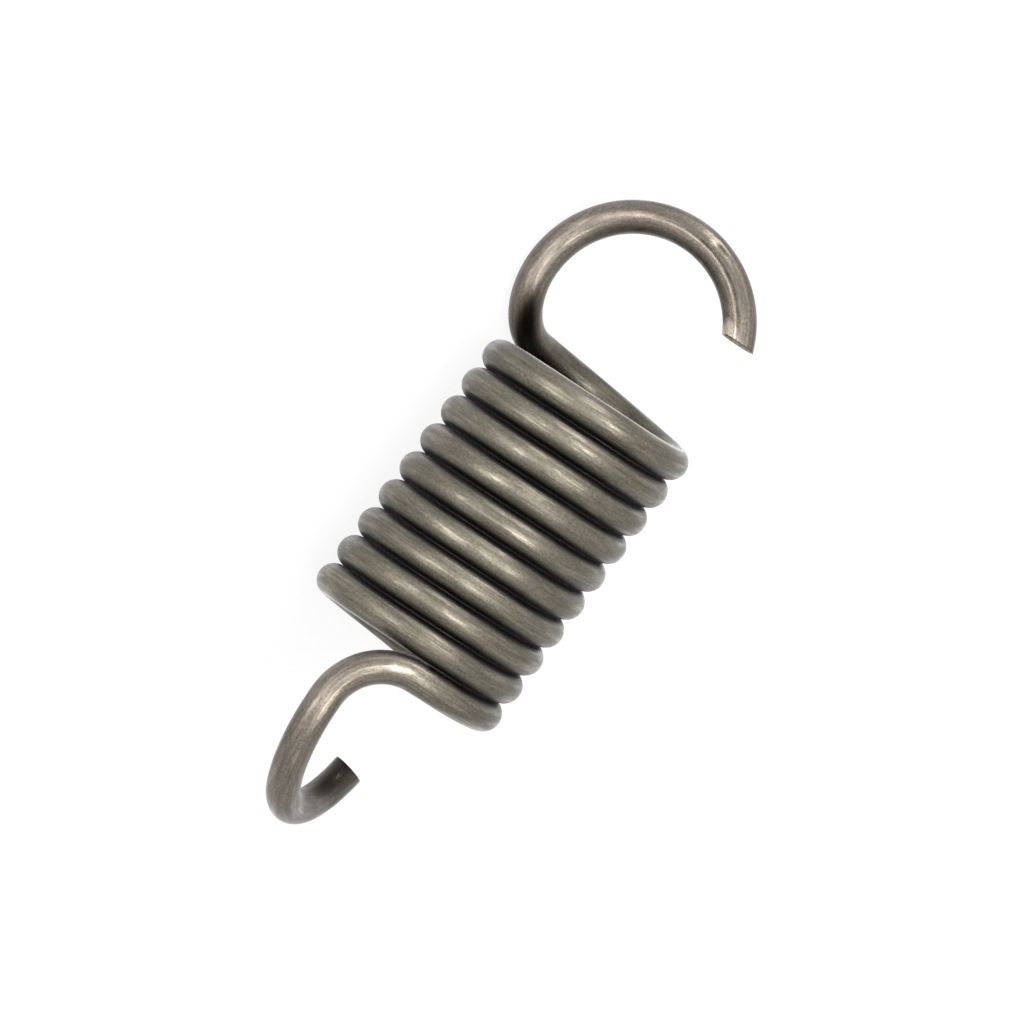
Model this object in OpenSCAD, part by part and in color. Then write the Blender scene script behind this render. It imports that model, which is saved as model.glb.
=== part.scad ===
// Extension spring: one length of round spring steel wire, wound close and right-handed into a
// coil, with the same open hook formed at each end. It lies on its coil, rolled over until the
// left hook meets the table, as such a spring comes to rest.
// Millimetres. X runs along the coil, Z is up, and the origin is under the middle of the spring.

/* [Wire] */
// Diameter of the wire
wire_d = 2; // [1.6:0.05:2.3]

/* [Coil] */
// Outer diameter of the coil
coil_od = 13.7; // [12.5:0.1:18]
// Number of turns between the two hooks
coil_turns = 9.6; // [5:0.1:13]
// Free gap between neighbouring turns
coil_gap = 0.02; // [0.02:0.01:0.6]

/* [Hooks] */
// Radius of the bend that leaves the coil, at the middle of the wire
bend_r = 3.9; // [3.2:0.1:5]
// Angle of that bend
bend_angle = 87.5; // [80:0.5:95]
// Angle between the plane of the bend and the plane of the loop
loop_lean = 60; // [50:1:75]
// Inner diameter of the loop
loop_id = 10.7; // [9:0.1:13]
// Angle that the loop goes round, up to its cut end
loop_angle = 158; // [120:1:170]

/* [Cut ends] */
// Slant of the left hook's cut, with its point on the outside of the loop
left_slant = 24; // [0:1:30]
// Slant of the left hook's cut across the loop, with its point at the back
left_tilt = 18; // [0:1:30]
// Slant of the right hook's cut, with its point on the outside of the loop
right_slant = 6; // [0:1:30]
// Slant of the right hook's cut across the loop, with its point at the back
right_tilt = 0; // [0:1:30]

/* [Hidden] */
wire_r = wire_d / 2;
coil_r = (coil_od - wire_d) / 2;
loop_r = (loop_id + wire_d) / 2;
ring_facets = 96;
wire_facets = 32;

// An angle within a hundredth of a degree of the one asked for, whose sine and cosine are both
// short decimals. Rings that meet at such an angle meet without a step.
function short(x) = let (e = pow(10, 5 - floor(log(abs(x) + 1e-9)))) round(x * e) / e;
function step_at(a) = abs(norm([short(cos(a)), short(sin(a))]) - 1);
function neat(a) =
    let (near = [for (i = [-20 : 20]) a + i / 2000], steps = [for (b = near) step_at(b)])
    near[search(min(steps), steps)[0]];

// The coil's helix is a chain of plane quarter rings. Each is twisted a little about the wire
// from the one before it, so that the chain climbs by the pitch and stays smooth.
climb = wire_d + coil_gap;
pitch = climb / cos(asin(climb / (2 * PI * coil_r)));
lead = atan(pitch / (8 * coil_r));
arc_sweep = acos(-pow(tan(lead), 2));
arc_r = norm([2 * coil_r * sin(arc_sweep / 2), pitch * arc_sweep / 360]) / sqrt(2);
arc_twist = neat(2 * acos(sqrt(2) * cos(arc_sweep / 2)));

// From the start of a quarter ring to the start of the next: round by 90 degrees, then twisted
next_arc = [
    [0, -1, 0, -arc_r],
    [cos(arc_twist), 0, sin(arc_twist), arc_r],
    [-sin(arc_twist), 0, cos(arc_twist), 0],
    [0, 0, 0, 1]
];

// Both halves of the spring are the same chain, from the middle of the coil to a hook's end.
half_sweep = 180 * coil_turns;
whole_arcs = floor(half_sweep / arc_sweep);
last_arc = neat(90 * (half_sweep / arc_sweep - whole_arcs));
bend_side = neat(90 + arc_twist / 2);
bend_turn = neat(bend_angle);
lean = neat(loop_lean);

// The bends of one half in order: twist about the wire, radius and angle
half_bends = concat(
    [for (i = [0 : whole_arcs - 1]) [i == 0 ? arc_twist / 2 : arc_twist, arc_r, 90]],
    [[arc_twist, arc_r, last_arc], [bend_side, bend_r, bend_turn], [-lean, loop_r, loop_angle]]
);

// A place along the wire is its point and three directions: outwards from the centre of the
// bend, forwards along the wire, and square to both.
function twisted(f, a) = [f[0], cos(a) * f[1] - sin(a) * f[3], f[2], sin(a) * f[1] + cos(a) * f[3]];
function ahead(f, r, a) = [
    f[0] + r * ((cos(a) - 1) * f[1] + sin(a) * f[2]),
    cos(a) * f[1] + sin(a) * f[2],
    cos(a) * f[2] - sin(a) * f[1],
    f[3]
];

// Points along the middle of the wire, from the bend numbered i to the cut end
bend_steps = 24;
function wire_line(f, i) =
    let (b = half_bends[i], g = twisted(f, b[0]))
    concat(
        [for (s = [0 : bend_steps]) ahead(g, b[1], b[2] * s / bend_steps)[0]],
        i < len(half_bends) - 1 ? wire_line(ahead(g, b[1], b[2]), i + 1) : []
    );
middle = [[coil_r, 0, 0], [1, 0, 0], [0, cos(lead), sin(lead)], [0, -sin(lead), cos(lead)]];
left_line = wire_line(middle, 0);
right_line = [for (p = left_line) [p.x, -p.y, -p.z]];

// The coil rolls on the table up to the first point of the left hook that reaches past it.
// Angles are round the coil's axis, from where the wire leaves the coil.
function round_from(p, start) = let (a = atan2(p.y, p.x) - start) a - 360 * round(a / 360);
function reach(p) = norm([p.x, p.y]);
hook_points = [for (p = left_line) if (p.z > coil_turns * pitch / 2 && reach(p) > coil_r) p];
touch = min([for (p = hook_points) round_from(p, half_sweep) - acos(coil_r / reach(p))]);
rest_turn = 180 - half_sweep - touch;

// The same points as the spring lies, for its lowest point and the middle of its length and width
function laid(p) = [-p.z, p.x * sin(rest_turn) + p.y * cos(rest_turn), p.x * cos(rest_turn) - p.y * sin(rest_turn)];
lying = [for (p = concat(left_line, right_line)) laid(p)];
function span_middle(k) = (min([for (p = lying) p[k]]) + max([for (p = lying) p[k]])) / 2;
lift = wire_r - min([for (p = lying) p.z]);

// Part of a ring of wire, from the place where the wire already is
module arc(radius, angle) {
    translate([-radius, 0, 0])
        rotate_extrude(angle = angle, $fn = ring_facets)
            translate([radius, 0])
                circle(d = wire_d, $fn = wire_facets);
}

module at_end(radius, angle) {
    translate([-radius, 0, 0])
        rotate([0, 0, angle])
            translate([radius, 0, 0])
                children();
}

// An arc that is made too long and cut off where it ends
module cut_arc(radius, angle, slant = 0, tilt = 0) {
    spare = 20;
    difference() {
        arc(radius, angle + spare);
        at_end(radius, angle)
            rotate([-tilt, 0, slant])
                translate([-wire_d, 0, -wire_d])
                    cube(2 * wire_d);
    }
}

module hook(slant, tilt) {
    cut_arc(bend_r, bend_turn);
    at_end(bend_r, bend_turn)
        rotate([0, -lean, 0])
            cut_arc(loop_r, loop_angle, slant, tilt);
}

// From the middle of the coil to a hook's cut end, each quarter ring carrying the next
module half_spring(slant, tilt, arcs_left = whole_arcs) {
    if (arcs_left > 0) {
        arc(arc_r, 90);
        multmatrix(next_arc)
            half_spring(slant, tilt, arcs_left - 1);
    } else {
        cut_arc(arc_r, last_arc);
        at_end(arc_r, last_arc)
            rotate([0, bend_side, 0])
                hook(slant, tilt);
    }
}

module spring_wire() {
    color([0.42, 0.39, 0.35])
        translate([-span_middle(0), -span_middle(1), lift])
            rotate([0, -90, 0])
                rotate([0, 0, rest_turn])
                    translate([coil_r, 0, 0])
                        rotate([lead, 0, 0]) {
                            rotate([0, arc_twist / 2, 0])
                                half_spring(left_slant, left_tilt);
                            rotate([180, 0, 0])
                                rotate([0, arc_twist / 2, 0])
                                    half_spring(right_slant, right_tilt);
                        }
}

spring_wire();
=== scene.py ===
"""Extension spring: one length of drawn spring steel wire, close wound, with an open hook at each end."""

import math

import bpy
import numpy as np
from bpy.props import FloatProperty, FloatVectorProperty, IntProperty, PointerProperty
from mathutils import Matrix, Vector


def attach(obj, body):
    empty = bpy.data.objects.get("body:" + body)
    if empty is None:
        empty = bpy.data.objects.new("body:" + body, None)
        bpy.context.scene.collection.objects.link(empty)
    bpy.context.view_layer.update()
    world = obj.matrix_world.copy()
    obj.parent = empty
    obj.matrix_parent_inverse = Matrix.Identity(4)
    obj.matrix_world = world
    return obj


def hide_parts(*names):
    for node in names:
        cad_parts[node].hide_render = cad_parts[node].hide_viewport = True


bl_info = {
    "name": "Extension Spring",
    "version": (1, 0, 0),
    "blender": (4, 5, 0),
    "location": "3D View > Sidebar > Spring",
    "description": "A close-wound extension spring with open hooks, and its stage",
    "category": "Object",
}

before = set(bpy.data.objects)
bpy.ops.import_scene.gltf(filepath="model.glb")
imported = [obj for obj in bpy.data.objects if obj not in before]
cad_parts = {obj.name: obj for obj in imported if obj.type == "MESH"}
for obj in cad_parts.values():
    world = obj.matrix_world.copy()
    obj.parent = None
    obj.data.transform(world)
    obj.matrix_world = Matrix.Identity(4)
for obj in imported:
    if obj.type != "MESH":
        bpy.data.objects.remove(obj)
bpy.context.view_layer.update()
MM = 0.001


def linear(code):
    """An sRGB hex colour as linear red, green and blue."""
    parts = [int(code[i : i + 2], 16) / 255 for i in (1, 3, 5)]
    return tuple(c / 12.92 if c <= 0.04045 else ((c + 0.055) / 1.055) ** 2.4 for c in parts)


# Values

def length(name, description, millimetres):
    """A length property, written in millimetres and held in metres."""
    return FloatProperty(
        name=name, description=description, default=millimetres * MM, unit="LENGTH", precision=5,
    )


def angle(name, description, degrees):
    """An angle property, written in degrees and held in radians."""
    return FloatProperty(name=name, description=description, default=math.radians(degrees), subtype="ANGLE")


def colour(name, description, code):
    """A colour property, written as an sRGB hex colour and held as linear values."""
    return FloatVectorProperty(
        name=name, description=description, default=linear(code), subtype="COLOR", min=0, max=1,
    )


class SpringSizes(bpy.types.PropertyGroup):
    """Sizes of the wire, the coil, the hooks and the cuts, and of the mesh's facets."""
    wire_d: length("Wire", "Diameter of the wire", 2)
    coil_od: length("Coil", "Outer diameter of the coil", 13.7)
    coil_turns: FloatProperty(name="Turns", description="Turns between the two hooks", default=9.6)
    coil_gap: length("Gap", "Free gap between neighbouring turns", 0.02)
    bend_r: length("Bend radius", "Radius of the bend that leaves the coil, at the middle of the wire", 3.9)
    bend_angle: angle("Bend", "Angle of the bend that leaves the coil", 87.5)
    loop_lean: angle("Lean", "Angle between the plane of the bend and the plane of the loop", 60)
    loop_id: length("Loop", "Inner diameter of the loop", 10.7)
    left_angle: angle("Left loop", "Angle that the left loop goes round, up to its cut end", 157.5)
    right_angle: angle("Right loop", "Angle that the right loop goes round, up to its cut end", 156.5)
    left_slant: angle("Left slant", "Slant of the left hook's cut, with its point on the outside", 22)
    left_tilt: angle("Left tilt", "Slant of the left hook's cut across the loop", 1)
    right_slant: angle("Right slant", "Slant of the right hook's cut, with its point on the outside", 14)
    right_tilt: angle("Right tilt", "Slant of the right hook's cut across the loop", -10)
    rest_angle: angle("Loop at rest", "Angle of a loop that sets how the spring lies", 158)
    cut_edge: length("Cut edge", "Width of the narrow ring round each cut's face", 0.03)
    cut_tear: length("Cut tear", "Depth of the torn grain on each cut", 0.03)
    columns: IntProperty(name="Columns", description="Facets round the wire", default=64, min=16, max=96)
    coil_step: length("Coil step", "Length of a facet along the coil", 0.36)
    hook_step: length("Hook step", "Length of a facet along the hooks", 0.15)


class SpringColours(bpy.types.PropertyGroup):
    """Colours of the steel and of the floor."""
    steel: colour("Drawn steel", "Matt olive-grey skin of the coil's wire", "#6e6a5f")
    bent: colour("Bent steel", "Warmer skin of the hooks, where forming rubbed it", "#766e67")
    dark: colour("Dark streaks", "Dark grey of the drawing streaks", "#4a463c")
    # The worn tan is also laid on as painted highlight, where the marks' shine is above 0
    wear_and_highlight: colour("Worn steel", "Tan shine where the skin is rubbed", "#a89d8e")
    # Painted shade: near black laid into the grooves between the turns, inside the coil and on the marks
    painted_shade: colour("Grime", "Oily dirt in the grooves between the turns", "#1a1711")
    cut: colour("Cut steel", "Sheared face at each end of the wire", "#9c8a72")
    floor: colour("Floor", "Pale floor under the spring", "#f2f2f2")


class SpringStage(bpy.types.PropertyGroup):
    """The camera, the floor and the light."""
    azimuth: angle("Azimuth", "Direction of the camera round the spring", -1.6657)
    elevation: angle("Elevation", "Height of the camera over the horizon", 44.634)
    roll: angle("Roll", "Turn of the camera about its own view", 127.771)
    distance: length("Distance", "From the camera to the point it looks at", 525.139)
    aim: FloatVectorProperty(
        name="Aim", description="Point that the camera looks at", subtype="XYZ_LENGTH",
        default=(-1.1074 * MM, 0.2276 * MM, 7.0479 * MM),
    )
    lens: FloatProperty(
        name="Lens", description="Focal length on a 36 mm sensor, in mm", default=317.21,
        subtype="DISTANCE_CAMERA",
    )
    floor_side: length("Floor side", "Side of the square floor", 1600)
    sky: FloatProperty(name="Sky", description="Strength of the white surroundings", default=0.85)
    key_power: FloatProperty(name="Key", description="Power of each window", default=1.5, subtype="POWER")
    key_turn: angle("Key turn", "Angle of each window from the camera's view, to its two sides", 29)
    key_lean: angle("Key lean", "Direction of the line between the windows, below the camera's right", 30)
    rim_power: FloatProperty(name="Rim", description="Power of the far light", default=1.0, subtype="POWER")
    light_side: length("Light side", "Side of each window and of the far light", 270)
    light_distance: length("Light distance", "From each light to the point that the camera looks at", 450)


# The wire's line

HALF_TURN = np.array([1, -1, -1])    # turns the left half of the spring over into the right half


def turn(axis, a):
    """Turning matrix about the local x, y or z axis, by the right-hand rule."""
    c, s = math.cos(a), math.sin(a)
    rows = {
        "x": [[1, 0, 0], [0, c, -s], [0, s, c]],
        "y": [[c, 0, s], [0, 1, 0], [-s, 0, c]],
        "z": [[c, -s, 0], [s, c, 0], [0, 0, 1]],
    }
    return np.array(rows[axis])


def coil_numbers(v, loop_angle):
    """Radius, pitch, lead angle and the chain of plane bends of one half of the spring.

    A bend is its twist about the wire, its radius and its angle. A helix of radius R and pitch p is a
    chain of plane quarter rings: the lead is atan(p / 8R), a ring covers the sweep acos(-tan(lead)^2) of
    the coil, and each ring is twisted about the wire by 2 acos(sqrt(2) cos(sweep / 2)) from the one
    before. Then come the bend out of the coil and the loop.
    """
    radius = (v.coil_od - v.wire_d) / 2
    climb = v.wire_d + v.coil_gap
    pitch = climb / math.cos(math.asin(climb / (2 * math.pi * radius)))
    lead = math.atan(pitch / (8 * radius))
    sweep = math.acos(-math.tan(lead) ** 2)
    ring = math.hypot(2 * radius * math.sin(sweep / 2), pitch * sweep / (2 * math.pi)) / math.sqrt(2)
    twist = 2 * math.acos(math.sqrt(2) * math.cos(sweep / 2))
    rings = math.pi * v.coil_turns / sweep
    whole = int(rings)
    quarter = math.pi / 2
    bends = [(twist / 2 if i == 0 else twist, ring, quarter) for i in range(whole)]
    bends.append((twist, ring, quarter * (rings - whole)))
    bends.append((quarter + twist / 2, v.bend_r, v.bend_angle))
    bends.append((-v.loop_lean, (v.loop_id + v.wire_d) / 2, loop_angle))
    return radius, pitch, lead, bends


LINE_POINTS = 49    # points along each bend, to find how the spring lies


def lay(points, v):
    """The chain's frame turned and moved to how the spring lies.

    The coil's axis goes along X. The coil rolls on up to the first point of the left hook that reaches
    past it, which is the least of its angle round the axis less acos(coil radius / its distance).
    """
    radius, pitch, lead, bends = coil_numbers(v, v.rest_angle)
    place, axes, line = np.array([radius, 0, 0]), turn("x", lead), []
    for roll, bend, whole in bends:
        axes = axes @ turn("y", roll)
        t = np.linspace(0, whole, LINE_POINTS)
        line.append(place + np.stack([bend * (np.cos(t) - 1), bend * np.sin(t), 0 * t], 1) @ axes.T)
        place, axes = line[-1][-1], axes @ turn("z", whole)
    line = np.concatenate(line)
    far = np.hypot(line[:, 0], line[:, 1])
    half_sweep = math.pi * v.coil_turns
    past = (line[:, 2] > v.coil_turns * pitch / 2) & (far > radius)
    around = np.arctan2(line[past, 1], line[past, 0]) - half_sweep
    around -= 2 * np.pi * np.round(around / (2 * np.pi))
    touch = (around - np.arccos(radius / far[past])).min()
    rest = turn("y", -math.pi / 2) @ turn("z", math.pi - half_sweep - touch)
    both = np.concatenate([line, line * HALF_TURN]) @ rest.T
    shift = -(both.min(0) + both.max(0)) / 2
    shift[2] = v.wire_d / 2 - both[:, 2].min()
    return points @ rest.T + shift


# The wire's skin

# Painted shade in the grooves between the turns: the |sin q| where it starts, the stretch of |sin q| over
# which it grows, and the power that it grows by. It is wider on each turn's shadow side, which is the side
# towards the right hook.
SHADOW_SIDE = (0.22, 0.70, 1.6)
LIT_SIDE = (0.62, 0.33, 1.5)
INSIDE_SHADE = 0.3    # most painted shade on the wire's side that faces the coil's axis

# A painted reflection, a thin bright line on the last turn's free edge: its place and half width round the
# wire, in radians, its shine, and the share of a turn over which it and the free edge without shade set in
RIM_PLACE, RIM_WIDTH = math.radians(80), 0.12
RIM_SHINE, RIM_START = 1.1, 0.15

CUT_EASE = 0.2     # last share of the loop, where the rows close up to the plane of the cut
FEWEST_ROWS = 4    # least number of rows in a bend


def coil_looks(q, free, side):
    """Painted reflection and painted shade of the coil's wire, from the angle q round it and free, which is
    1 on the last turn.

    The painted shade is ((|sin q| - start) / stretch)^power in the grooves, on the sides that have a
    neighbour, and -2 cos q times INSIDE_SHADE, up to INSIDE_SHADE, inside the coil. The painted reflection
    is the bell curve exp(-((q - RIM_PLACE) / RIM_WIDTH)^2) on the last turn's free edge, where no shade is.
    """
    across = np.sin(q)
    shadow_side_shade, lit_side_shade = (
        np.clip((np.abs(across) - start) / stretch, 0, 1) ** power
        for start, stretch, power in (SHADOW_SIDE, LIT_SIDE)
    )
    beside = np.where(across * side < 0, shadow_side_shade, lit_side_shade) * np.where(across > 0, 1 - free, 1)
    inside = INSIDE_SHADE * np.clip(-2 * np.cos(q), 0, 1)
    from_rim = (q - RIM_PLACE + np.pi) % (2 * np.pi) - np.pi
    rim = RIM_SHINE * free * np.exp(-(from_rim / RIM_WIDTH) ** 2)
    return np.stack([rim, np.maximum(beside, inside)], 2)


def half_skin(v, side, loop_angle, slant, tilt):
    """Surface of one half of the wire in the coil's own frame, from the middle of the coil to the cut.

    A point is the centre of the bend, plus (bend radius + wire radius * cos q) along the turned outward
    direction, plus wire radius * sin q square to the bend, where q is the angle round the wire plus all
    the twists so far. Near the cut the rows close up to the plane of the cut, column by column.
    Returns points (rows, columns, 3), outward normals, the length along the wire of each row, the painted
    reflection and painted shade, and the directions and the middle of the cut.
    """
    radius, _, lead, bends = coil_numbers(v, loop_angle)
    wire_r = v.wire_d / 2
    round_wire = np.arange(v.columns) / v.columns * 2 * np.pi
    place, axes = np.array([radius, 0, 0]), turn("x", lead)
    spun, run, parts = 0.0, 0.0, []
    coil_bends = len(bends) - 2
    coil_length = sum(bend * whole for _, bend, whole in bends[:coil_bends])
    one_turn = 2 * math.pi * radius
    for number, (roll, bend, whole) in enumerate(bends):
        in_coil, last = number < coil_bends, number == len(bends) - 1
        axes = axes @ turn("y", roll)
        spun += roll
        count = max(FEWEST_ROWS, math.ceil(bend * whole / (v.coil_step if in_coil else v.hook_step)))
        q = (round_wire + spun)[None, :]
        part = np.linspace(0, 1, count + 1)[:, None]
        along = run + bend * whole * part
        reach = bend + wire_r * np.cos(q)
        sweep = part * whole + 0 * q
        if last:
            # The cut is the plane through the wire's middle with this normal, and sweep stops on it.
            nx, ny, nz = (turn("z", slant) @ turn("x", -tilt))[:, 1]
            wanted = nx * bend - nz * wire_r * np.sin(q)
            end = np.arcsin(wanted / (reach * math.hypot(nx, ny))) - math.atan2(nx, ny)
            sweep = sweep + end * np.clip((part - 1 + CUT_EASE) / CUT_EASE, 0, 1) ** 2
        across = wire_r * np.sin(q) + 0 * sweep
        local = np.stack([reach * np.cos(sweep) - bend, reach * np.sin(sweep), across], 2)
        face = np.stack([np.cos(q) * np.cos(sweep), np.cos(q) * np.sin(sweep), across / wire_r], 2)
        free = np.clip((along - coil_length + one_turn) / (RIM_START * one_turn), 0, 1)
        looks = coil_looks(q, free, side) * in_coil
        # Each bend leaves its last row to the next one.
        rows = slice(0, None if last else -1)
        parts.append([k[rows] for k in (place + local @ axes.T, face @ axes.T, along[:, 0], looks)])
        run += bend * whole
        place = place + axes @ np.array([bend * (math.cos(whole) - 1), bend * math.sin(whole), 0])
        axes = axes @ turn("z", whole)
    cut = axes @ turn("z", slant) @ turn("x", -tilt)
    skin, normals, along, looks = (np.concatenate(k) for k in zip(*parts))
    return skin, normals, along, looks, cut, place


CUT_RINGS = (0.86, 0.72, 0.58, 0.44, 0.3, 0.16)    # rings of points on a cut, in wire radii
CUT_PHASE = 1.3     # sets the torn grain of the two cuts apart
TEAR_SINK = 0.6     # how far the torn grain lies below the rim, in depths of the tear
TEAR_FADE = 0.2     # outer share of the radius, where the torn grain fades out


def cut_rows(v, rim, middle, cut, phase):
    """Rows that close the wire at its cut: the rim drawn in towards the middle of the cut in steps.

    A narrow ring beside the rim keeps the edge crisp. The face inside it is torn: a point is moved along
    the cut's normal by cut_tear times sin(9x + 4y) sin(7y - 3x) + sin(23x - 11y) / 2 - TEAR_SINK, with
    x and y its place on the cut in wire radii and the phase added to each angle.
    """
    wire_r = v.wire_d / 2
    shares = np.array([1 - v.cut_edge / wire_r, *CUT_RINGS])
    spokes = rim - middle
    x, y = (shares[:, None] * (spokes @ cut[:, k]) / wire_r for k in (0, 2))
    tear = np.sin(9 * x + 4 * y + phase) * np.sin(7 * y - 3 * x + 2 * phase)
    tear = tear + 0.5 * np.sin(23 * x - 11 * y + phase)
    fade = np.clip((1 - shares) / TEAR_FADE, 0, 1)[:, None]
    depth = (tear - TEAR_SINK) * fade * v.cut_tear
    return middle + shares[:, None, None] * spokes + depth[..., None] * cut[:, 1]


# Marks on the wire: dents, creases and flats that coiling and bending left, with painted highlights and
# painted shade, in mm along the wire from the coil's middle and in degrees round it. The left half is side
# 1, and each half of the wire ends 200 mm along it. The width is half the mark's width. Power shapes it
# across the wire: 2 is a soft bump, 1 a crease and 0 a flat. A shine above 0 is a painted highlight, at the
# left cut also bare steel, and one over 1 is brighter still. A shine under 0 is painted shade.
MARKS = (
    # side, start, end, around, width, rise, shine, waves, power
    (1, 189.5, 203.0, 133, 0.11, 0.055, 0.30, 3.1, 1.0),    # crease along the left loop, with a painted highlight
    (1, 189.5, 202.0, 142, 0.10, -0.030, -0.65, 4.0, 2),    # dark line beside it, painted shade in a shallow groove
    (1, 189.0, 203.0, 162, 0.42, -0.045, 0.00, 2.0, 0),     # flat beside the crease
    (1, 186.5, 191.5, 142, 0.22, 0.000, 0.36, 5.0, 2),      # painted highlight on the crest, smoother there
    (1, 189.5, 195.5, 128, 0.22, 0.000, 0.35, 8.0, 2),      # a fainter painted highlight after it
    (1, 194.1, 195.2, 172, 0.17, -0.070, -0.70, 0.0, 2),    # ding, with painted shade in it
    (1, 193.7, 194.5, 164, 0.14, 0.040, 1.25, 0.0, 2),      # its raised lip, with a painted highlight
    (1, 184.0, 189.0, 187, 0.30, 0.018, 0.20, 7.0, 2),      # rough outer edge
    (1, 191.0, 199.5, 75, 0.55, 0.008, -0.30, 6.0, 2),      # painted shade on the inner side
    (1, 198.6, 201.6, 104, 0.90, -0.050, 2.10, 2.0, 0),     # bare steel facet at the left cut, with a painted highlight
    (1, 174.6, 182.2, 112, 0.85, 0.000, -0.88, 1.0, 2),     # painted shade in the left bend
    (-1, 176.9, 179.2, 107, 0.20, -0.012, 1.00, 6.0, 2),    # painted highlight on the right bend, smoother there
    (-1, 181.4, 184.8, 90, 0.15, -0.010, 0.85, 8.0, 2),     # painted highlight streak on the right loop
    (-1, 185.3, 187.3, 98, 0.13, 0.006, 0.45, 9.0, 2),      # a fainter painted highlight after it
    (-1, 193.0, 207.0, 300, 1.75, 0.000, -0.88, 1.0, 2),    # painted shade towards the right cut
)
NARROWEST = 0.05    # least share of its width that a mark narrows to at its ends


def marks_on(v, side, along, columns):
    """Height, painted highlight and painted shade of the marks, and bare steel at the left cut.

    With s the length from a mark's middle, t that over half its length and w its waves, a mark is
    1 - t^4 along the wire, broken by 0.85 + 0.3 sin(w s) sin(0.37 w s + 1), and its width narrows by
    1 - t^2. Across it, it is exp(-|x / width|^power), or 1 - (x / width)^2 where the power is 0, with x
    the distance round the wire from its middle.
    """
    height, shine, painted_shade = (np.zeros((len(along), columns)) for _ in range(3))
    q = np.arange(columns) / columns * 360
    wire_r = v.wire_d / 2 / MM
    for half, start, end, around, width, rise, bright, waves, power in MARKS:
        if half != side:
            continue
        s = along / MM - (start + end) / 2
        t = 2 * s / (end - start)
        broken = 0.85 + 0.3 * np.sin(waves * s) * np.sin(0.37 * waves * s + 1)
        lengthways = np.clip(1 - t ** 4, 0, 1) * broken
        narrowed = width * np.clip(1 - t ** 2, NARROWEST, 1)
        x = np.abs(np.radians((q - around + 180) % 360 - 180)) * wire_r / narrowed[:, None]
        profile = np.exp(-(x ** power)) if power else np.clip(1 - x ** 2, 0, 1)
        both = lengthways[:, None] * profile
        height += both * rise * MM
        shine = np.maximum(shine, both * bright)
        painted_shade = np.maximum(painted_shade, -both * bright)
    return height, shine, painted_shade


def tube_faces(rows, n):
    """Quads of a tube of rows of n points, then triangles that close each end to a pole.

    The poles are the two points after the rows' points, the first row's pole first.
    """
    here, beside = np.arange(n), (np.arange(n) + 1) % n
    starts = np.arange(rows - 1)[:, None] * n
    quads = np.stack([starts + here, starts + here + n, starts + beside + n, starts + beside], 2)
    final = (rows - 1) * n
    first_fan = np.stack([np.full(n, rows * n), here, beside], 1)
    final_fan = np.stack([np.full(n, rows * n + 1), final + beside, final + here], 1)
    return quads.reshape(-1, 4).tolist() + first_fan.tolist() + final_fan.tolist()


def wire_surface(v):
    """Points, faces, place along and round the wire, painted highlight and painted shade, and cut faces of
    the whole wire.

    The right half is the left half turned 180 degrees about the line from the coil's axis to the
    middle of the wire, so its columns run the other way round and its rows are taken backwards.
    """
    n, halves = v.columns, []
    ends = ((1, v.left_angle, v.left_slant, v.left_tilt), (-1, v.right_angle, v.right_slant, v.right_tilt))
    for side, loop_angle, slant, tilt in ends:
        skin, normals, along, looks, cut, middle = half_skin(v, side, loop_angle, slant, tilt)
        order = side * np.arange(n) % n
        height, shine, painted_shade = marks_on(v, side, along, n)
        skin = skin + height[:, order][..., None] * normals
        caps = cut_rows(v, skin[-1], middle, cut, CUT_PHASE * side)
        pole = middle - TEAR_SINK * v.cut_tear * cut[:, 1]
        rows = np.concatenate([skin, caps])[:, order]
        if side < 0:
            rows, pole = rows * HALF_TURN, pole * HALF_TURN
        looks = np.maximum(np.stack([shine, painted_shade], 2), looks[:, order])
        looks = np.concatenate([looks, np.zeros((len(caps), n, 2))])
        along = np.concatenate([along, np.full(len(caps), along[-1])]) * side
        halves.append((rows, along, looks, pole))
    left, right = halves
    grid, along, looks = (np.concatenate([right[k][:0:-1], left[k]]) for k in range(3))
    rows = len(grid)
    points = lay(np.concatenate([grid.reshape(-1, 3), [right[3], left[3]]]), v)

    # The place on the wire is the length along it and the point on its round section.
    q = np.tile(np.arange(n) / n * 2 * np.pi, rows)
    wire_r = v.wire_d / 2
    place = np.stack([np.repeat(along, n), wire_r * np.cos(q), wire_r * np.sin(q)], 1)
    place = np.concatenate([place, [[along[0], 0, 0], [along[-1], 0, 0]]])
    looks = np.concatenate([looks.reshape(-1, 2), np.zeros((2, 2))])

    # The narrow ring beside each rim has the skin's steel, and the rest of the cut is sheared steel.
    row_of = np.repeat(np.arange(rows - 1), n)
    is_cut = (row_of < len(caps) - 1) | (row_of >= rows - len(caps))
    is_cut = np.concatenate([is_cut, np.ones(2 * n, bool)])
    return points, tube_faces(rows, n), place, looks, is_cut


def mesh_piece(name, points, faces):
    """A mesh object at the origin, with its place in its mesh and faces that point outwards."""
    mesh = bpy.data.meshes.new(name)
    mesh.from_pydata(points.tolist(), [], faces)
    mesh.update()
    mesh.polygons.foreach_set("use_smooth", np.ones(len(mesh.polygons), bool))
    piece = bpy.data.objects.new(name, mesh)
    bpy.context.scene.collection.objects.link(piece)
    return piece


# Materials

def material(name):
    """A new material with no nodes yet."""
    made = bpy.data.materials.new(name)
    made.use_nodes = True
    made.node_tree.nodes.clear()
    return made


def add(tree, kind, links=(), inputs=(), **settings):
    """Adds a node with its settings, the values of its inputs and the links that feed it.

    A link comes from an output, or from a node, which stands for its first output.
    """
    node = tree.nodes.new(kind)
    for key, value in settings.items():
        setattr(node, key, value)
    for socket, value in dict(inputs).items():
        node.inputs[socket].default_value = value
    for socket, source in dict(links).items():
        output = source.outputs[0] if isinstance(source, bpy.types.Node) else source
        tree.links.new(output, node.inputs[socket])
    return node


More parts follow.
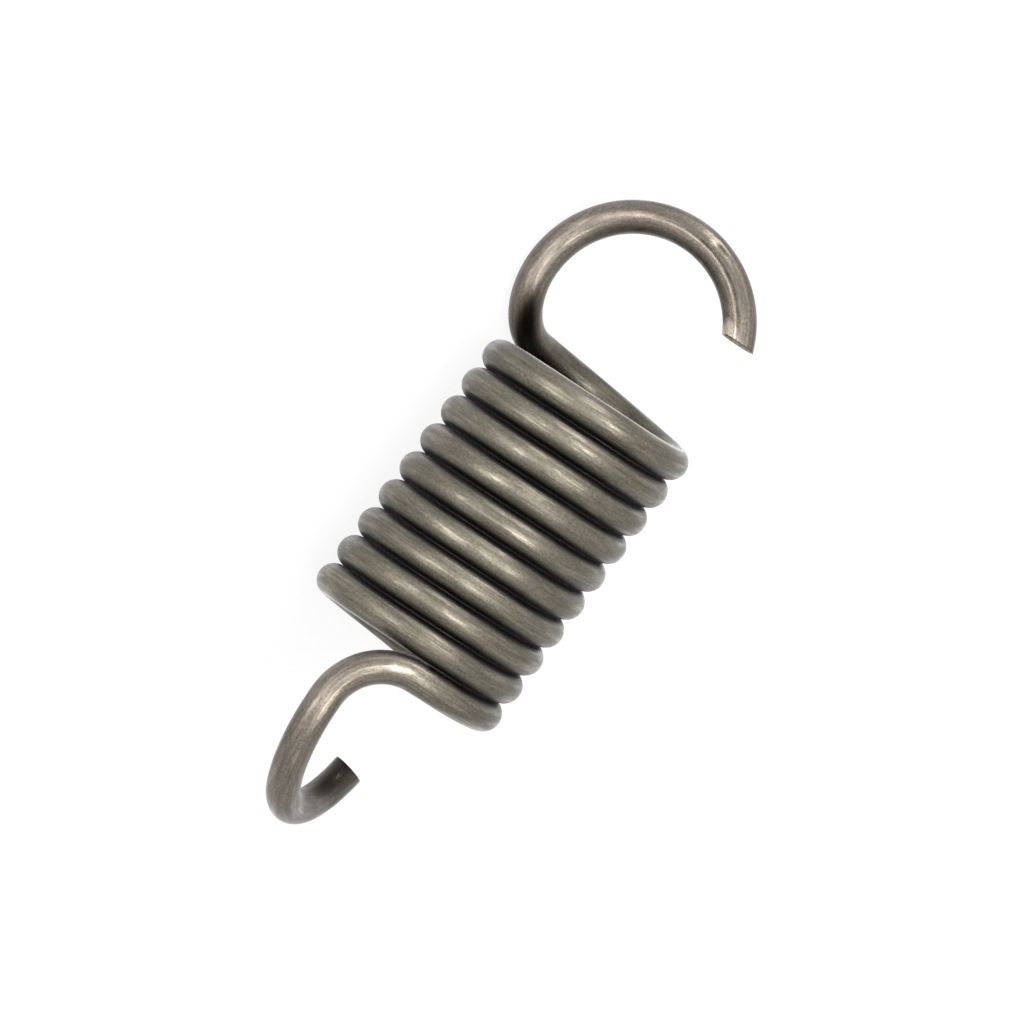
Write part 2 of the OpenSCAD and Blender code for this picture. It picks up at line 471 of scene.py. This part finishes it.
def steel_material(c):
    """Hard-drawn, oil-tempered spring steel: a thin matt grey-brown skin over bright metal. The die
    leaves fine streaks along the wire, and coiling rubs it smooth in short broken runs that only show where
    the light strikes. Shade is painted into the grooves between the turns, and highlights onto the marks."""
    made = material("oil_tempered_drawn_steel")
    t = made.node_tree
    place = add(t, "ShaderNodeAttribute", attribute_name="wire_place").outputs["Vector"]
    # Painted highlight and reflection, with bare steel at the left cut, and painted shade, from the mesh
    shine = add(t, "ShaderNodeAttribute", attribute_name="wire_shine").outputs["Fac"]
    darkening = add(t, "ShaderNodeAttribute", attribute_name="wire_painted_shade").outputs["Fac"]

    # Noise on the place on the wire: its scales per metre, along the wire and round it, detail and
    # roughness
    patterns = {
        "streak": (260, 6500, 5.0, 0.65),    # die streaks, 0.15 mm across and 4 mm long
        "run": (450, 2300, 3.0, 0.5),        # rubbed runs, 0.4 mm across and 2 mm long
        "cloud": (150, 300, 3.0, 0.5),       # clouds in the skin, 3 to 7 mm
        "grain": (6500, 8500, 2.0, 0.6),     # grit, 0.12 to 0.15 mm, coarser than real so that it shows
    }
    noise = {}
    for name, (along, across, detail, roughness) in patterns.items():
        where = add(t, "ShaderNodeMapping", {"Vector": place}, {"Scale": (along, across, across)})
        noise[name] = add(
            t, "ShaderNodeTexNoise", {"Vector": where},
            {"Scale": 1.0, "Detail": detail, "Roughness": roughness},
        )

    # Rubbed runs, broken by the streaks
    runs = add(t, "ShaderNodeMapRange", {"Value": noise["run"]}, {"From Min": 0.46, "From Max": 0.60})
    broken = add(
        t, "ShaderNodeMapRange", {"Value": noise["streak"]},
        {"From Min": 0.35, "From Max": 0.6, "To Min": 0.3},
    )
    rubbed = add(t, "ShaderNodeMath", {0: runs, 1: broken}, operation="MULTIPLY")
    tan = add(t, "ShaderNodeMath", {0: rubbed}, {1: 0.25}, operation="MULTIPLY")
    # The marks' shine lays the worn tan on as painted highlight
    wear_and_highlight = add(t, "ShaderNodeMath", {0: tan, 1: shine}, operation="MAXIMUM")

    # Skin colour: it turns from the coil's to the hooks' about their start, 177 mm along the wire.
    parts = add(t, "ShaderNodeSeparateXYZ", {"Vector": place})
    far = add(t, "ShaderNodeMath", {0: parts}, operation="ABSOLUTE")
    hook = add(
        t, "ShaderNodeMapRange", {"Value": far}, {"From Min": 0.172, "From Max": 0.182, "To Max": 0.85},
    )
    base = add(
        t, "ShaderNodeMix", {"Factor": hook}, {"A": (*c.steel, 1), "B": (*c.bent, 1)}, data_type="RGBA",
    )
    die = add(
        t, "ShaderNodeMapRange", {"Value": noise["streak"]},
        {"From Min": 0.34, "From Max": 0.62, "To Min": 0.6, "To Max": 0.0},
    )
    lined = add(
        t, "ShaderNodeMix", {"Factor": die, "A": base.outputs["Result"]}, {"B": (*c.dark, 1)},
        data_type="RGBA",
    )
    worn_and_highlit = add(
        t, "ShaderNodeMix", {"Factor": wear_and_highlight, "A": lined.outputs["Result"]}, {"B": (*c.wear_and_highlight, 1)},
        data_type="RGBA",
    )

    # Clouds and grit darken and lighten it, and a shine over 1 makes it brighter still: painted highlight,
    # and at the left cut also bare steel.
    clouds = add(
        t, "ShaderNodeMapRange", {"Value": noise["cloud"]},
        {"From Min": 0.3, "From Max": 0.7, "To Min": 0.86, "To Max": 1.1},
    )
    grit = add(
        t, "ShaderNodeMapRange", {"Value": noise["grain"]},
        {"From Min": 0.3, "From Max": 0.7, "To Min": 0.76, "To Max": 1.24},
    )
    shade = add(t, "ShaderNodeMath", {0: clouds, 1: grit}, operation="MULTIPLY")
    bare = add(t, "ShaderNodeMath", {0: shine}, {1: 1.0}, operation="MAXIMUM")
    tone = add(t, "ShaderNodeMath", {0: shade, 1: bare}, operation="MULTIPLY")
    shaded = add(t, "ShaderNodeVectorMath", {0: worn_and_highlit.outputs["Result"], "Scale": tone}, operation="SCALE")

    # Painted shade, with an edge that the streaks make ragged
    thin = add(t, "ShaderNodeMath", {0: darkening}, {1: 0.15}, operation="SUBTRACT")
    ragged = add(t, "ShaderNodeMath", {0: noise["streak"], 2: thin}, {1: 0.30}, operation="MULTIPLY_ADD")
    shade_mix = add(
        t, "ShaderNodeMapRange", {"Value": ragged}, {"From Min": 0.02, "From Max": 0.85, "To Max": 0.94},
    )
    skin = add(
        t, "ShaderNodeMix", {"Factor": shade_mix, "A": shaded}, {"B": (*c.painted_shade, 1)}, data_type="RGBA",
    )

    # Rubbed steel is smoother, and grit and streaks stand 0.03 mm high at most.
    smooth = add(t, "ShaderNodeMath", {0: rubbed, 1: shine}, operation="MAXIMUM")
    polish = add(t, "ShaderNodeMapRange", {"Value": smooth}, {"To Min": 0.40, "To Max": 0.20})
    rough = add(t, "ShaderNodeMath", {0: noise["grain"], 2: polish}, {1: 0.12}, operation="MULTIPLY_ADD")
    relief = add(
        t, "ShaderNodeMath", {0: noise["grain"], 2: noise["streak"]}, {1: 0.5}, operation="MULTIPLY_ADD",
    )
    bump = add(t, "ShaderNodeBump", {"Height": relief}, {"Strength": 0.7, "Distance": 0.00003})
    # The thin oxide film looks paler where it is seen edge-on, and the painted shade hides it.
    film = add(t, "ShaderNodeMapRange", {"Value": shade_mix}, {"To Min": 0.34, "To Max": 0.02})
    shader = add(
        t, "ShaderNodeBsdfPrincipled",
        {"Base Color": skin.outputs["Result"], "Roughness": rough, "Normal": bump, "Sheen Weight": film},
        {"Metallic": 1.0, "Sheen Roughness": 0.3, "Sheen Tint": (0.94, 0.96, 1.0, 1)},
    )
    add(t, "ShaderNodeOutputMaterial", {"Surface": shader})
    return made


def cut_material(c):
    """Sheared spring steel: bare metal torn across the wire, bright tan, rough and a little stained."""
    made = material("sheared_spring_steel")
    t = made.node_tree
    where = add(t, "ShaderNodeTexCoord").outputs["Object"]
    # Torn grain of about 0.15 mm, and stains of about 0.7 mm
    torn = add(t, "ShaderNodeTexNoise", {"Vector": where}, {"Scale": 6500.0, "Detail": 4.0})
    stain = add(t, "ShaderNodeTexNoise", {"Vector": where}, {"Scale": 1400.0, "Detail": 2.0})
    tone = add(
        t, "ShaderNodeMapRange", {"Value": torn},
        {"From Min": 0.3, "From Max": 0.7, "To Min": 0.7, "To Max": 1.1},
    )
    dim = add(
        t, "ShaderNodeMapRange", {"Value": stain},
        {"From Min": 0.35, "From Max": 0.6, "To Min": 0.75, "To Max": 1.0},
    )
    shade = add(t, "ShaderNodeMath", {0: tone, 1: dim}, operation="MULTIPLY")
    skin = add(t, "ShaderNodeVectorMath", {"Scale": shade}, {0: tuple(c.cut)}, operation="SCALE")
    bump = add(t, "ShaderNodeBump", {"Height": torn}, {"Strength": 0.8, "Distance": 0.00004})
    shader = add(
        t, "ShaderNodeBsdfPrincipled", {"Base Color": skin, "Normal": bump},
        {"Metallic": 1.0, "Roughness": 0.5},
    )
    add(t, "ShaderNodeOutputMaterial", {"Surface": shader})
    return made


# Share of pure white that the camera and the gloss see in the floor
CAMERA_WHITE, GLOSS_WHITE = 0.88, 0.6


def floor_material(c):
    """Matt white paper sweep. It shows white to the camera and keeps part of the spring's shadow."""
    made = material("matt_white_paper")
    t = made.node_tree
    ray = add(t, "ShaderNodeLightPath")
    gloss = add(
        t, "ShaderNodeMath", {0: ray.outputs["Is Glossy Ray"]}, {1: GLOSS_WHITE}, operation="MULTIPLY",
    )
    seen = add(
        t, "ShaderNodeMath", {0: ray.outputs["Is Camera Ray"], 2: gloss}, {1: CAMERA_WHITE},
        operation="MULTIPLY_ADD", use_clamp=True,
    )
    paper = add(t, "ShaderNodeBsdfDiffuse", inputs={"Color": (*c.floor, 1)})
    white = add(t, "ShaderNodeEmission", inputs={"Color": (1, 1, 1, 1), "Strength": 1.0})
    both = add(t, "ShaderNodeMixShader", {0: seen, 1: paper, 2: white})
    add(t, "ShaderNodeOutputMaterial", {"Surface": both})
    return made


# The wire

class SPRING_OT_wire(bpy.types.Operator):
    """Make the spring's wire, with its hooks and cut ends"""
    bl_idname = "spring.wire"
    bl_label = "Make the wire"

    def execute(self, context):
        v, c = context.scene.spring_sizes, context.scene.spring_colours
        points, faces, place, looks, is_cut = wire_surface(v)
        piece = mesh_piece("drawn_wire", points, faces)
        mesh = piece.data
        where = mesh.attributes.new("wire_place", "FLOAT_VECTOR", "POINT")
        where.data.foreach_set("vector", place.ravel())
        for number, name in enumerate(("wire_shine", "wire_painted_shade")):
            mesh.attributes.new(name, "FLOAT", "POINT").data.foreach_set("value", looks[:, number].copy())
        mesh.materials.append(steel_material(c))
        mesh.materials.append(cut_material(c))
        mesh.polygons.foreach_set("material_index", is_cut.astype(np.int32))
        mesh.update()
        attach(piece, "root")
        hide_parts("spring_wire")
        return {"FINISHED"}


# The stage

SENSOR_WIDTH = 36                 # mm
CLIP_NEAR, CLIP_FAR = 0.05, 10    # metres
# How far the middle between the windows stands above and left of the camera, as tangents of the angles
KEY_UP, KEY_LEFT = 0.10, 0.12
# Direction of the far light, as parts towards the camera, up and right in its view
RIM_WAY = (0.35, 0.6, 0.5)


def area_light(name, way, power, g):
    """A square light that faces the camera's aim from the light distance, in the given direction."""
    lamp = bpy.data.lights.new(name, "AREA")
    lamp.shape, lamp.size, lamp.energy = "SQUARE", g.light_side, power
    made = bpy.data.objects.new(name, lamp)
    made.location = Vector(g.aim) + g.light_distance * way.normalized()
    made.rotation_mode = "QUATERNION"
    made.rotation_quaternion = way.to_track_quat("Z", "Y")
    bpy.context.scene.collection.objects.link(made)


def camera_axes(g):
    """Directions to the right of the camera, above it and behind it.

    Behind it is the direction at azimuth and elevation. The level line to its right is turned about that
    by the roll, and above is square to both.
    """
    a, e = g.azimuth, g.elevation
    back = Vector((math.sin(a) * math.cos(e), -math.cos(a) * math.cos(e), math.sin(e)))
    level = Vector((math.cos(a), math.sin(a), 0))
    right = math.cos(g.roll) * level + math.sin(g.roll) * back.cross(level)
    return right, back.cross(right), back


def white_surroundings(g):
    """White world: it lights the spring with the sky strength, and camera and gloss see pure white."""
    world = bpy.data.worlds.new("white_surroundings")
    world.use_nodes = True
    t = world.node_tree
    t.nodes.clear()
    ray = add(t, "ShaderNodeLightPath")
    seen = add(
        t, "ShaderNodeMath", {0: ray.outputs["Is Camera Ray"], 1: ray.outputs["Is Glossy Ray"]},
        operation="MAXIMUM",
    )
    strength = add(t, "ShaderNodeMapRange", {"Value": seen}, {"To Min": g.sky, "To Max": 1.0})
    sky = add(t, "ShaderNodeBackground", {"Strength": strength}, {"Color": (1, 1, 1, 1)})
    add(t, "ShaderNodeOutputWorld", {"Surface": sky})
    return world


class SPRING_OT_stage(bpy.types.Operator):
    """Make the floor, the soft lights, the surroundings and the camera"""
    bl_idname = "spring.stage"
    bl_label = "Make the stage"

    def execute(self, context):
        scene, g, c = context.scene, context.scene.spring_stage, context.scene.spring_colours
        half = g.floor_side / 2
        corners = np.array([[-half, -half, 0], [half, -half, 0], [half, half, 0], [-half, half, 0]])
        floor = mesh_piece("floor", corners, [[0, 1, 2, 3]])
        floor.data.materials.append(floor_material(c))

        right, up, back = camera_axes(g)
        lens = bpy.data.cameras.new("camera")
        lens.lens, lens.sensor_width, lens.sensor_fit = g.lens, SENSOR_WIDTH, "AUTO"
        lens.clip_start, lens.clip_end = CLIP_NEAR, CLIP_FAR
        camera = bpy.data.objects.new("camera", lens)
        spot = Matrix.Translation(Vector(g.aim) + back * g.distance)
        camera.matrix_world = spot @ Matrix((right, up, back)).transposed().to_4x4()
        scene.collection.objects.link(camera)
        scene.camera = camera

        across = math.cos(g.key_lean) * right - math.sin(g.key_lean) * up
        for name, way in (("key_box_one", -1), ("key_box_two", 1)):
            toward = back + KEY_UP * up - KEY_LEFT * right + way * math.tan(g.key_turn) * across
            area_light(name, toward, g.key_power, g)
        area_light("rim_box", RIM_WAY[0] * back + RIM_WAY[1] * up + RIM_WAY[2] * right, g.rim_power, g)

        scene.world = white_surroundings(g)
        scene.view_settings.view_transform = "Standard"
        return {"FINISHED"}


# Panel and registration

class SPRING_PT_panel(bpy.types.Panel):
    """Sizes, colours and steps of the extension spring"""
    bl_idname = "SPRING_PT_panel"
    bl_label = "Extension Spring"
    bl_space_type = "VIEW_3D"
    bl_region_type = "UI"
    bl_category = "Spring"

    def draw(self, context):
        layout = self.layout
        for group in (context.scene.spring_sizes, context.scene.spring_colours, context.scene.spring_stage):
            box = layout.box()
            for name in group.__annotations__:
                box.prop(group, name)
        for operator in (SPRING_OT_wire, SPRING_OT_stage):
            layout.operator(operator.bl_idname)


CLASSES = (SpringSizes, SpringColours, SpringStage, SPRING_OT_wire, SPRING_OT_stage, SPRING_PT_panel)


def register():
    for cls in CLASSES:
        bpy.utils.register_class(cls)
    bpy.types.Scene.spring_sizes = PointerProperty(type=SpringSizes)
    bpy.types.Scene.spring_colours = PointerProperty(type=SpringColours)
    bpy.types.Scene.spring_stage = PointerProperty(type=SpringStage)


def unregister():
    del bpy.types.Scene.spring_sizes, bpy.types.Scene.spring_colours, bpy.types.Scene.spring_stage
    for cls in reversed(CLASSES):
        bpy.utils.unregister_class(cls)


def main():
    """Registers the classes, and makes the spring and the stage."""
    register()
    bpy.ops.spring.wire()
    bpy.ops.spring.stage()


if __name__ == "__main__":
    main()
